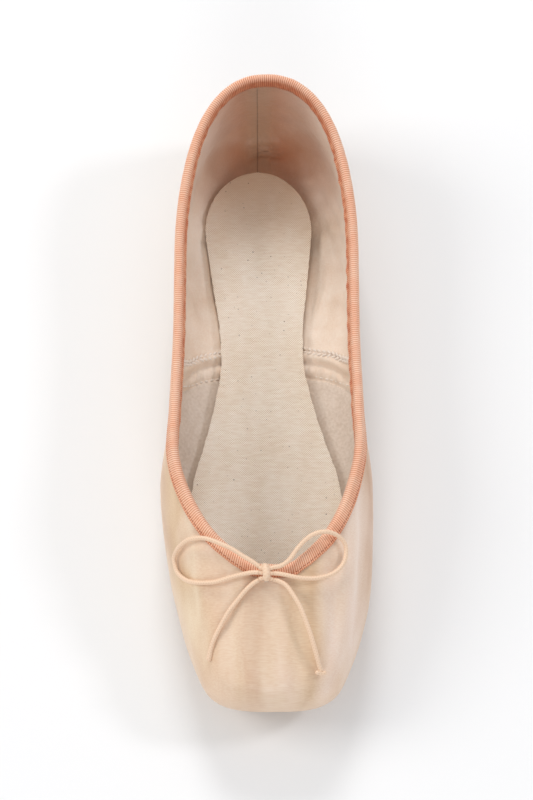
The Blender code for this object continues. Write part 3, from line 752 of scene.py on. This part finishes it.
def lay_cord(name, route, spread=0.0, tip=None):
    """Free cord; spread widens its far end, and tip is a crosspiece on it."""
    centres = cord_route(route)
    run = arc_length(centres)
    wider = 1 + spread * np.clip(1 - (run[-1] - run) / SPREAD_LENGTH, 0, 1)
    cord = round_tube("bow_" + name, centres, end_radii(run, CORD_THICK / 2) * wider)
    if tip:
        bar = cord_route(tip, KNOT_STEP)
        crosspiece = round_tube(name + "_tip", bar, end_radii(arc_length(bar), TIP_RADIUS, 0.5))
        cord = join_pieces([cord, crosspiece], "bow_" + name)
    finish_piece(cord, "cord", CORD, "drawstring_" + name)
    path = to_world(centres)


def make_knot():
    """One strand wrapped over the crossing strands, which lead into the loops and ends."""
    wrap = [
        (-0.5, 2.1, -1.2), (-0.3, 2.3, -0.3), (-0.1, 1.7, 0.6), (0.1, 0.7, 0.95), (0.2, -0.7, 0.85),
        (0.1, -1.7, 0.4), (0.0, -2.1, -0.4), (0.0, -1.9, -1.3),
    ]
    tuck = [(-1.3, 1.2, -0.6), (-0.8, 2.1, 0.1), (0.3, 2.4, 0.2), (1.3, 1.6, -0.1), (1.5, 0.6, -0.7)]
    crossings = (
        [(-2.9, 43.2, 3.2), (-1.4, 42.4, 3.25), (0.9, 42.4, 3.25), (2.7, 42.8, 3.2)],
        [(-2.9, 41.15, 3.15), (-1.0, 41.0, 3.1), (0.8, 40.9, 3.1), (2.7, 40.8, 3.15)],
        [(-2.9, 39.1, 2.55), (-1.2, 39.4, 2.7), (0.8, 39.4, 2.7), (2.5, 38.75, 2.65)],
    )
    middle = np.array(over_shoe(*KNOT_AT))
    strands = [(smooth_route(wrap, KNOT_STEP) + middle, WRAP_RADIUS)]
    strands.append((smooth_route(tuck, KNOT_STEP) + middle, TUCK_RADIUS))
    strands += [(cord_route(route, KNOT_STEP), CROSSING_RADIUS) for route in crossings]
    parts = []
    for centres, radius in strands:
        radii = end_radii(arc_length(centres), radius, 0.5)
        parts.append(round_tube(f"knot_strand_{len(parts)}", centres, radii))
    return finish_piece(join_pieces(parts, "bow_knot"), "cord", CORD, "drawstring_knot")


knot = make_knot()
lay_cord("loop_left", LOOP_LEFT)
lay_cord("loop_right", LOOP_RIGHT)
lay_cord("end_left", END_LEFT, spread=0.22)
lay_cord("end_right", END_RIGHT, tip=[(17.0, 8.6, 3.6), (18.9, 8.4, 3.3), (20.9, 8.9, 3.6)])


# Satin and linings
HALF_COLUMNS = 285
SKIN_RINGS = 60
SKIN = last_skin(HALF_COLUMNS, SKIN_RINGS)
SKIN_OUT = skin_normals(SKIN)
SATIN_THICK = 0.5
LINING_THICK = 0.5

# Soft ridges (+) and troughs (-) of the satin over the vamp: (height, width, [(across, behind)])
VAMP_FOLDS = [
    (0.55, 3.8, [(-27, 48), (-23, 28), (-18, 8)]),
    (-0.45, 2.8, [(-17, 42), (-15, 24), (-12, 8)]),
    (0.50, 3.2, [(-9, 38), (-10, 20), (-8, 5)]),
    (-0.50, 3.0, [(-2, 36), (-4, 22), (-3, 6)]),
    (0.40, 2.6, [(4, 36), (4, 20), (4, 5)]),
    (-0.35, 2.6, [(9, 38), (10, 22), (9, 6)]),
    (0.45, 3.0, [(15, 42), (17, 26), (15, 9)]),
    (-0.35, 2.6, [(21, 46), (21.5, 28), (18, 10)]),
    (0.50, 3.2, [(28, 52), (26.0, 32), (22, 12)]),
    (-0.30, 3.0, [(-33, 60), (-30, 40), (-25, 22)]),
]

# Folds of the lining, rising (+) into the shoe: (height, width, [(across, behind, height)])
LINING_FOLDS = [
    (1.1, 1.5, [(-23.9, 181.9, 7.6), (-22.3, 169.8, 7.1), (-20.4, 159.7, 7.2), (-18.8, 151.5, 7.4),
                (-17.7, 143.4, 7.6)]),
    (0.9, 1.8, [(21.7, 186.5, 6.5), (23.4, 169.6, 7.7), (18.9, 153.6, 7.3)]),
    (0.9, 1.3, [(16.6, 145.6, 7.3), (20.3, 143.2, 8.3), (25.0, 146.3, 10.2), (29.0, 149.0, 14.0)]),
    (0.9, 1.4, [(-29.5, 148.0, 14.0), (-25.4, 142.6, 10.4), (-20.0, 142.5, 8.0)]),
    (-0.7, 1.8, [(-28.0, 163.0, 12.0), (-25.0, 154.0, 9.5), (-21.0, 148.0, 8.0)]),
    (0.8, 2.0, [(-32.0, 152.0, 24.0), (-29.0, 159.0, 13.0), (-25.5, 167.0, 9.0)]),
    (-0.6, 1.8, [(-32.0, 160.0, 26.0), (-29.0, 169.0, 14.0), (-26.0, 176.0, 9.5)]),
    (0.8, 2.4, [(-31.5, 172.0, 28.0), (-28.5, 182.0, 15.0), (-24.0, 190.0, 8.5)]),
    (0.9, 2.0, [(32.0, 151.0, 24.0), (29.0, 158.0, 13.0), (24.5, 165.0, 8.6)]),
    (-0.7, 1.8, [(32.0, 160.0, 26.0), (29.0, 168.0, 14.0), (25.5, 176.0, 9.5)]),
    (0.8, 2.4, [(31.5, 174.0, 28.0), (28.5, 184.0, 15.0), (23.0, 193.0, 8.0)]),
    (0.9, 0.8, [(-9.0, 221.5, 5.2), (-2.0, 225.0, 4.6), (6.0, 223.5, 5.0)]),
    (-0.7, 0.7, [(-8.5, 219.6, 4.6), (-2.0, 223.0, 4.3), (6.0, 221.6, 4.5)]),
    (0.8, 0.8, [(-8.0, 217.5, 4.2), (-2.0, 220.8, 4.0), (6.0, 219.8, 4.2)]),
    (0.8, 0.9, [(-7.0, 225.5, 8.5), (-2.0, 227.6, 7.2), (4.0, 227.0, 8.0)]),
    (0.7, 2.5, [(-24.0, 205.0, 30.0), (-21.0, 208.0, 16.0), (-17.0, 209.0, 7.0)]),
    (0.7, 2.5, [(23.0, 206.0, 30.0), (20.0, 209.0, 16.0), (15.0, 211.0, 7.0)]),
]

# Rows of stitches on the lining: (pitch, length, lean, thickness, [(across, behind, height)]).
# The two rows of each chain along the side seams lean towards each other.
CHAIN_LEFT = [(-33.0, 131.5, 22.0), (-29.3, 134.3, 13.3), (-26.4, 136.5, 10.9), (-22.8, 138.0, 9.1),
              (-17.7, 139.5, 7.6)]
CHAIN_RIGHT = [(14.4, 141.3, 7.0), (19.5, 140.1, 8.0), (24.6, 138.8, 10.0), (28.2, 136.6, 12.4),
               (33.0, 131.5, 22.0)]
CHAIN_WIDTH = 1.5
LOWER_LEFT = [(-33.0, 121.0, 22.0), (-28.4, 125.4, 11.6), (-24.6, 127.6, 9.3), (-20.6, 129.0, 7.9),
              (-16.0, 130.0, 7.0)]
LOWER_RIGHT = [(14.0, 131.5, 6.6), (17.3, 130.9, 7.1), (20.6, 129.8, 7.8), (24.6, 128.5, 9.1),
               (28.4, 126.4, 11.3), (33.0, 121.0, 22.0)]
STITCHES = []
for lean, chain in ((0.6, CHAIN_LEFT), (-0.6, CHAIN_RIGHT)):
    second = [(x, t - CHAIN_WIDTH, z) for x, t, z in chain]
    STITCHES += [(1.8, 2.5, lean, 1.15, chain), (1.8, 2.5, -lean, 1.15, second)]
STITCHES += [(2.1, 1.6, 0.0, 0.7, row) for row in (LOWER_LEFT, LOWER_RIGHT)]

# The satin's pleats under the toe fan out from a point, and its gathers have an even pitch
PLEAT_ANGLE = math.radians(12.0)
PLEAT_CENTRE = 40.0
GATHER_PITCH = 4.0
# The lining puckers in front of the side seam, and felt covers it further in front
PUCKER_PITCH = 4.6
FELT_AHEAD = 7.3
PANEL_SLOPE = 0.8


def side_seam(height):
    """Where the seam between vamp and quarter crosses a height, as a distance behind."""
    height = np.clip(height, SIDE_SEAM[0, 0], SIDE_SEAM[-1, 0])
    return smooth_rows(SIDE_SEAM[:, 0], SIDE_SEAM[:, 1], height)


def sewn_groove(distance):
    """Narrow groove between slight swells, where satin is seamed."""
    return 0.25 * bell(distance, 2.6) - 0.5 * bell(distance, 0.8)


def satin_shape(skin, normals):
    across, behind, height = skin[..., 0], skin[..., 1], skin[..., 2]
    lift = np.zeros(across.shape)
    for rise, width, route in VAMP_FOLDS:
        line = [(x, t, float(last_height(x, t))) for x, t in route]
        lift += rise * nearness(skin, line, width)
    # Side seams and the back seam
    lift += sewn_groove(behind - side_seam(height))
    lift += part_way(behind, 205, 215) * sewn_groove(across)
    # Pleats under the toe
    low = part_way(height, 10.5, 5.5) * part_way(behind, 46, 32)
    saw = (np.arctan2(across, PLEAT_CENTRE - behind) / PLEAT_ANGLE) % 1.0
    lift += low * (0.9 * (1 - saw) ** 1.5 - 0.5)
    # Small gathers where the satin is pulled in along the sole
    around = arc_length(skin[:, skin.shape[1] // 3])[:, None]
    pulled = part_way(height, 8, 3) * part_way(behind, 40, 54)
    wander = 1.5 * np.sin(around * 0.31)
    lift += 0.2 * pulled * np.sin(around * 2 * math.pi / GATHER_PITCH + wander)
    return skin + normals * lift[..., None]


def wall_thickness(behind):
    box = part_way(behind, QUARTER_START, BOX_END)
    return QUARTER_WALL + (BOX_WALL - QUARTER_WALL) * box


def make_satin():
    outer = satin_shape(SKIN, SKIN_OUT)
    satin = lay_grid("satin", outer.transpose(1, 0, 2))
    apply_modifier(satin, "SOLIDIFY", thickness=SATIN_THICK * MM, offset=-1)
    finish_piece(satin, "satin", SATIN, "upper")


def lining_shape(skin, normals):
    across, behind, height = skin[..., 0], skin[..., 1], skin[..., 2]
    inner = skin - normals * wall_thickness(behind)[..., None]
    lift = np.zeros(across.shape)
    for rise, width, route in LINING_FOLDS:
        lift += rise * nearness(inner, route, width)
    # Raised side seam, and the puckered strip in front of it
    from_seam = behind - side_seam(height)
    lift += 1.2 * bell(from_seam - 1.0, 2.0) - 0.9 * bell(from_seam + 2.4, 1.1)
    lift += 0.5 * bell(from_seam + 5.2, 1.8) - 0.5 * bell(from_seam + 8.2, 0.9)
    climb = np.abs(across) + height
    pucker = np.sin(2 * math.pi * climb / PUCKER_PITCH + 1.3 * np.sin(climb * 0.9))
    pucker = pucker + 0.5 * np.sin(climb * 3.1 + from_seam)
    lift += 0.55 * bell(from_seam + 5.0, 2.2) * pucker
    # Loose crumples of the quarters, 12 to 20 mm across
    quarter = part_way(behind, 142, 154) * part_way(behind, 214, 194)
    slope = behind + 0.9 * height * np.sign(across) + 5.0 * np.sin(behind * 0.09 + height * 0.13)
    crumple = np.sin(slope * 0.34 + 1.8 * np.sin(height * 0.19 + behind * 0.05))
    lift += 0.32 * quarter * crumple * np.sin(height * 0.21 - behind * 0.083 + 0.6 * across)
    # Panel over the back seam
    heel = part_way(behind, 205, 213)
    within = np.minimum(across - HEEL_PANEL[0], HEEL_PANEL[1] - across)
    panel = np.clip(within / PANEL_SLOPE, 0, 1)
    lift += heel * (0.4 * panel - 0.25 * bell(across - HEEL_SEAM, 0.5))
    # Everything lies flat under the tape
    lift *= part_way(collar_height(behind) - height, 3, 7)
    return inner - normals * lift[..., None]


def make_lining(inner):
    lining = lay_grid("lining", inner.transpose(1, 0, 2)[:, ::-1])
    apply_modifier(lining, "SOLIDIFY", thickness=LINING_THICK * MM, offset=-1)
    finish_piece(lining, "canvas", LINING, "upper")
    lining.data.materials.append(FELT)
    mesh = lining.data
    centres = np.zeros(len(mesh.polygons) * 3)
    mesh.polygons.foreach_get("center", centres)
    centres = centres.reshape(-1, 3) / MM
    felt = centres[:, 1] + SHOE_LENGTH / 2 < side_seam(centres[:, 2]) - FELT_AHEAD
    mesh.polygons.foreach_set("material_index", felt.astype(np.int32))


def make_stitches(inner):
    """Single stitches sunk into the lining at both ends."""
    surface = inner.reshape(-1, 3)
    inward = -SKIN_OUT.reshape(-1, 3)
    share = np.linspace(-1, 1, 7)
    parts = []
    for pitch, length, lean, thickness, route in STITCHES:
        line = smooth_route(route, pitch)
        for centre, ahead in zip(line, np.gradient(line, axis=0)):
            nearest = np.argmin(np.linalg.norm(surface - centre, axis=1))
            normal = inward[nearest]
            centre = centre + normal * np.dot(surface[nearest] - centre, normal)
            ahead = ahead - normal * np.dot(ahead, normal)
            ahead = ahead / np.linalg.norm(ahead)
            reach = ahead * math.cos(lean) + np.cross(normal, ahead) * math.sin(lean)
            arch = thickness * (0.45 - 0.75 * share**2)
            centres = centre + share[:, None] * reach * length / 2 + arch[:, None] * normal
            radii = thickness / 2 * round_end(1 - np.abs(share), 2.0)
            parts.append(round_tube(f"stitch_{len(parts)}", centres, radii, 6, normal))
    finish_piece(join_pieces(parts, "lining_stitches"), "canvas", THREAD, "upper")


make_satin()
inner_skin = lining_shape(SKIN, SKIN_OUT)
make_lining(inner_skin)
make_stitches(inner_skin)


# Binding
TAPE = 0.5
TAPE_GAP = 0.3
RIB_PITCH = 0.8
RIB_HEIGHT = 0.28
COLUMNS_PER_RIB = 4
# Depths below the fold; the rows of each leg are numbered from the fold down
LEG_DEPTHS = np.array([0.0, 0.8, 1.5, 2.05, 2.3, 2.55, 3.0, 3.2])
OUTER_ROWS = (7, 6, 5, 4, 3, 2, 1)
EDGE_ROW, EDGE_SINK = 7, 0.25
STITCH_ROW, STITCH_SINK = 4, 0.3
INNER_ROWS = (1, 2, 4, 7)
FOLD_STEPS = 9
GATHER_DEPTH = 0.38
# The casing's swell into the shoe: in front, what the sides add and what the heel takes off
CASING_FRONT, CASING_SIDES, CASING_HEEL = 0.4, 0.8, 0.6


def wrap_between(rows, places):
    """Catmull-Rom between the rows of a closed ring, at fractional places."""
    index = np.floor(places).astype(int)
    u = (places - index).reshape(-1, *([1] * (rows.ndim - 1)))
    return curve_between(*(rows[(index + k) % len(rows)] for k in (-1, 0, 1, 2)), u)


def collar_legs(depths):
    """Points and normals of the skin at depths below the collar, for each column."""
    points, normals = [], []
    for line, out in zip(SKIN[:-1], SKIN_OUT[:-1]):
        run = arc_length(line[::-1])
        points.append([[np.interp(d, run, line[::-1, axis]) for axis in range(3)] for d in depths])
        normals.append([[np.interp(d, run, out[::-1, axis]) for axis in range(3)] for d in depths])
    return np.array(points), unit(np.array(normals))


def make_binding():
    legs, normals = collar_legs(LEG_DEPTHS)
    up = legs[:, 0] - legs[:, 3]
    up = unit(up - normals[:, 0] * np.sum(up * normals[:, 0], axis=1)[:, None])
    run = arc_length(np.vstack([legs[:, 0], legs[:1, 0]]))
    ribs = 2 * round(run[-1] / RIB_PITCH / 2)
    even = np.linspace(0, run[-1], ribs * COLUMNS_PER_RIB, endpoint=False)
    places = np.interp(even, run, np.arange(len(run)))
    legs, normals, up = (wrap_between(rows, places) for rows in (legs, normals, up))
    out = normals[:, 0]
    relief = RIB_HEIGHT * (np.abs(np.sin(np.arange(len(even)) / COLUMNS_PER_RIB * math.pi))[:, None] - 1)
    middle = legs[:, 0] - out * QUARTER_WALL / 2
    # The drawstring gathers the inner leg, most of all on the right side and round the heel
    across, behind = legs[:, 0, 0], legs[:, 0, 1]
    right = part_way(across, 0, 10) * part_way(behind, 60, 90)
    pulled = 0.60 + 0.50 * np.maximum(right, part_way(behind, 190, 205))
    around = even / run[-1] * 2 * math.pi
    wave = np.sin(58 * around + 2 * np.sin(3 * around)) * (0.7 + 0.3 * np.sin(11 * around))
    wave = wave + 0.45 * np.sin(91 * around + 2.5 * np.sin(5 * around)) + 0.15 * np.sin(151 * around + 1)
    gather = (GATHER_DEPTH * pulled * (wave - 0.7))[:, None]
    middle = middle - out * 0.08 * gather
    # The loose casing swells into the shoe, most of all along the two sides
    casing = CASING_FRONT + CASING_SIDES * part_way(behind, 50, 85)
    casing = (casing - CASING_HEEL * part_way(behind, 195, 220))[:, None]
    outside = TAPE_GAP + TAPE
    inside = QUARTER_WALL + TAPE_GAP
    loop = []
    for i in OUTER_ROWS:
        sink = {EDGE_ROW: EDGE_SINK, STITCH_ROW: STITCH_SINK}.get(i, 0.0)
        loop.append(legs[:, i] + normals[:, i] * (outside - sink + relief))
    for a in np.linspace(0, math.pi, FOLD_STEPS):
        radius = QUARTER_WALL / 2 + outside + 1.3 * relief + 0.12 * math.sin(a)
        swell = 0.35 * casing * (1 - math.cos(a)) / 2
        loop.append(middle - out * swell + radius * (out * math.cos(a) + up * math.sin(a)))
    for i in INNER_ROWS:
        low = LEG_DEPTHS[i] / LEG_DEPTHS[-1]
        swell = casing * math.sin(0.75 * math.pi * low)
        swell = swell + low * (0.3 + 0.5 * gather + 0.2 * right[:, None])
        loop.append(legs[:, i] - normals[:, i] * (inside + TAPE + relief + swell) + up * gather * low**2)
    low_inside = legs[:, EDGE_ROW] - normals[:, EDGE_ROW] * inside + up * gather
    loop += [low_inside, legs[:, 2] - normals[:, 2] * inside]
    for a in (math.pi, math.pi / 2, 0.0):
        loop.append(middle + (QUARTER_WALL / 2 + TAPE_GAP) * (out * math.cos(a) + up * math.sin(a)))
    loop += [legs[:, i] + normals[:, i] * TAPE_GAP for i in (2, EDGE_ROW)]
    loop.append(loop[0])
    grid = np.array(loop)
    grid = np.concatenate([grid, grid[:, :1]], axis=1)
    stitch_share = OUTER_ROWS.index(STITCH_ROW) / (len(loop) - 1)
    binding = lay_grid("binding_tape", grid)
    finish_piece(binding, "tape", tape_material(ribs, stitch_share), "binding")


make_binding()


# Insole
INSOLE = np.array([
    (31, 26.6), (56, 27.2), (76, 27.6), (88, 26.4), (103, 22.1), (118, 18.0), (136, 15.0),
    (148, 15.3), (161, 16.8), (173, 18.2), (190, 19.7), (214, 19.5),
])
INSOLE_FACE = np.array([
    (31, 11.0), (52, 11.4), (76, 10.8), (92, 10.5), (108, 10.8), (124, 11.7), (140, 12.5),
    (155, 12.2), (172, 11.7), (192, 12.1), (214, 12.1),
])
INSOLE_FRONT, INSOLE_BACK = 32.0, 212.0
INSOLE_ENDS = (22.0, 2.4, 24.0, 2.0)
INSOLE_THICK = 3.0
INSOLE_BEVEL = 0.35
INSOLE_TURN = math.radians(1.6)
INSOLE_PIVOT = 80.0
INSOLE_STATIONS, INSOLE_ACROSS = 240, 40


def end_crowded(front, back, count):
    """Places from front to back, closer together at both ends."""
    even = np.linspace(0, 1, count)
    share = 0.7 * (1 - np.cos(even * math.pi)) / 2 + 0.3 * even
    return front + (back - front) * share


def make_insole():
    stations = end_crowded(INSOLE_FRONT + 0.05, INSOLE_BACK - 0.05, INSOLE_STATIONS)
    half = outline_half_width(INSOLE, INSOLE_FRONT, INSOLE_BACK, INSOLE_ENDS, stations)
    height = smooth_rows(INSOLE_FACE[:, 0], INSOLE_FACE[:, 1], stations)
    share = np.linspace(-1, 1, INSOLE_ACROSS + 1)[:, None]
    # The cut edge of the canvas frays by a fraction of a millimetre
    fray = 0.10 * np.sin(stations * 2.9 + 2 * np.sin(stations * 0.7))
    fray = fray + 0.08 * np.sin(stations * 5.3 + share)
    across = share * half + share**15 * fray * part_way(half, 0, 10)
    behind = np.broadcast_to(stations, across.shape)
    wave = 0.10 * np.sin(across * 0.35 + behind * 0.06) + 0.10 * np.sin(behind * 0.11 + 1.0)
    level = height + wave - 0.3 * share**2
    turn_x = across * math.cos(INSOLE_TURN) - (behind - INSOLE_PIVOT) * math.sin(INSOLE_TURN)
    turn_y = across * math.sin(INSOLE_TURN) + (behind - INSOLE_PIVOT) * math.cos(INSOLE_TURN)
    points = np.stack([turn_x, turn_y + INSOLE_PIVOT, level], -1)
    insole = lay_grid("insole_board", points[::-1])
    apply_modifier(insole, "SOLIDIFY", thickness=(INSOLE_THICK - 0.4) * MM, offset=-1)
    apply_modifier(
        insole, "BEVEL", width=INSOLE_BEVEL * MM, segments=2, limit_method="ANGLE",
        angle_limit=math.radians(50))
    finish_piece(insole, "canvas", CANVAS, "insole")


make_insole()


# Outsole
OUTSOLE_THICK = 2.4
OUTSOLE_GAP = 0.4
OUTSOLE_STATIONS = 110
SOLE_OVER = np.array([-1.0, -0.85, -0.6, -0.3, 0.0, 0.3, 0.6, 0.85, 1.0])
SOLE_UNDER = np.array([0.985, 0.93, 0.88, 0.86, 0.84, 0.6, 0.3, 0.0])
GROOVE_SHARE, GROOVE_DEPTH = 0.86, 0.35


def make_outsole():
    """Loft across the sole: flat underneath with a stitch groove, skived at the edge."""
    stations = end_crowded(OUTSOLE_FRONT + 0.1, OUTSOLE_BACK - 0.1, OUTSOLE_STATIONS)
    half = outline_half_width(OUTSOLE, OUTSOLE_FRONT, OUTSOLE_BACK, OUTSOLE_ENDS, stations)
    across = SOLE_OVER[:, None] * half
    face = last_height(across, np.broadcast_to(stations, across.shape), -1) - OUTSOLE_GAP
    level = np.maximum(last_height(0 * stations, stations, -1) - OUTSOLE_GAP - OUTSOLE_THICK, 0.0)
    rim = face[0] - OUTSOLE_THICK
    rows = [np.stack([across[i], stations, face[i]], -1) for i in range(len(SOLE_OVER))]
    for share in np.concatenate([SOLE_UNDER, -SOLE_UNDER[-2::-1]]):
        rise = np.clip((abs(share) - 0.80) / 0.2, 0, 1) ** 2
        z = np.maximum(level + (rim - level) * rise, level)
        z = z + GROOVE_DEPTH * (abs(abs(share) - GROOVE_SHARE) < 0.005) + 0.5 * (abs(share) > 0.98)
        rows.append(np.stack([share * half, stations, z], -1))
    rows.append(rows[0])
    outsole = lay_grid("sole_leather", np.array(rows)[::-1])
    # Close the two ends
    bpy.ops.object.mode_set(mode="EDIT")
    bpy.ops.mesh.select_all(action="DESELECT")
    bpy.ops.mesh.select_non_manifold()
    bpy.ops.mesh.edge_face_add()
    bpy.ops.object.mode_set(mode="OBJECT")
    finish_piece(outsole, "sole_leather", LEATHER, "outsole")


make_outsole()


# Floor and light, in metres
FLOOR_SIZE = 6.0
LIGHTS_AIM = Vector((0, 0, 0.02))


def make_stage():
    bpy.ops.object.select_all(action="DESELECT")
    bpy.ops.mesh.primitive_plane_add(size=FLOOR_SIZE, location=(0, 0, 0))
    floor = bpy.context.object
    floor.name = "floor"
    floor.data.materials.append(new_material("studio_paper", "#F3F4F5", 0.9)[0])


def add_light(name, place, size, power, colour):
    bpy.ops.object.light_add(type="AREA", location=place)
    light = bpy.context.object
    light.name = name
    light.data.size = size
    light.data.energy = power
    light.data.color = hex_colour(colour)[:3]
    aim = LIGHTS_AIM - Vector(place)
    light.rotation_euler = aim.to_track_quat("-Z", "Y").to_euler()


make_stage()
add_light("key_behind", (-0.12, 1.8, 1.6), 0.7, 21.0, "#FFFFFF")
add_light("fill_left", (-1.5, 0.2, 1.3), 0.9, 13.0, "#FFFCF8")
add_light("side_right", (1.4, 0.3, 1.3), 0.30, 6.5, "#FAFAFF")
add_light("fill_front", (0.0, -1.6, 0.9), 0.9, 7.5, "#FFFFFF")
world = bpy.data.worlds.new("studio")
bpy.context.scene.world = world
world.use_nodes = True
world.node_tree.nodes["Background"].inputs["Color"].default_value = hex_colour("#F5F5F6")
world.node_tree.nodes["Background"].inputs["Strength"].default_value = 0.50
bpy.context.scene.view_settings.view_transform = "Standard"
